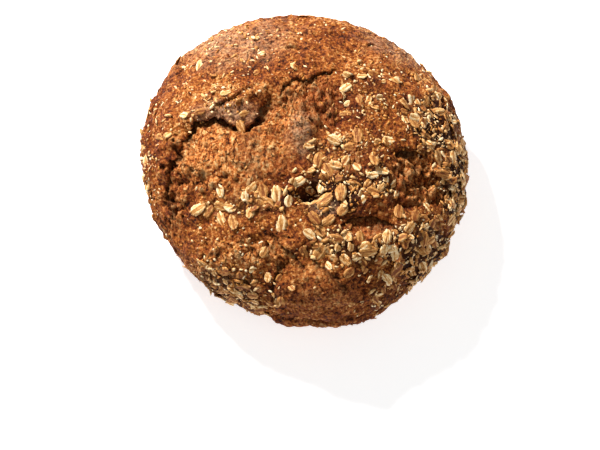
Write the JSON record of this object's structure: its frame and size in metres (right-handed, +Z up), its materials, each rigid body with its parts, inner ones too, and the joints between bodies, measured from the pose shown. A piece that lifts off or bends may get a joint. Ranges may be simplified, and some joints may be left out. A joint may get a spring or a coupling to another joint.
{
  "type": "sourdough loaf",
  "caption": "Round, free-standing sourdough loaf with a torn, oat-topped crust and a flat foot that it rests on.",
  "frame": {"origin": "the middle of the flat foot that the loaf rests on", "axes": "+Z up through the crown; +X to the loaf's right and +Y to its back, seen from the side where the crust hangs over the foot at the front"},
  "size_m": [0.23, 0.23, 0.092],
  "materials": {
    "crust": "matte",
    "oat_flakes": "matte"
  },
  "bodies": {
    "root": {"loaf": "crust"}
  },
  "joints": []
}
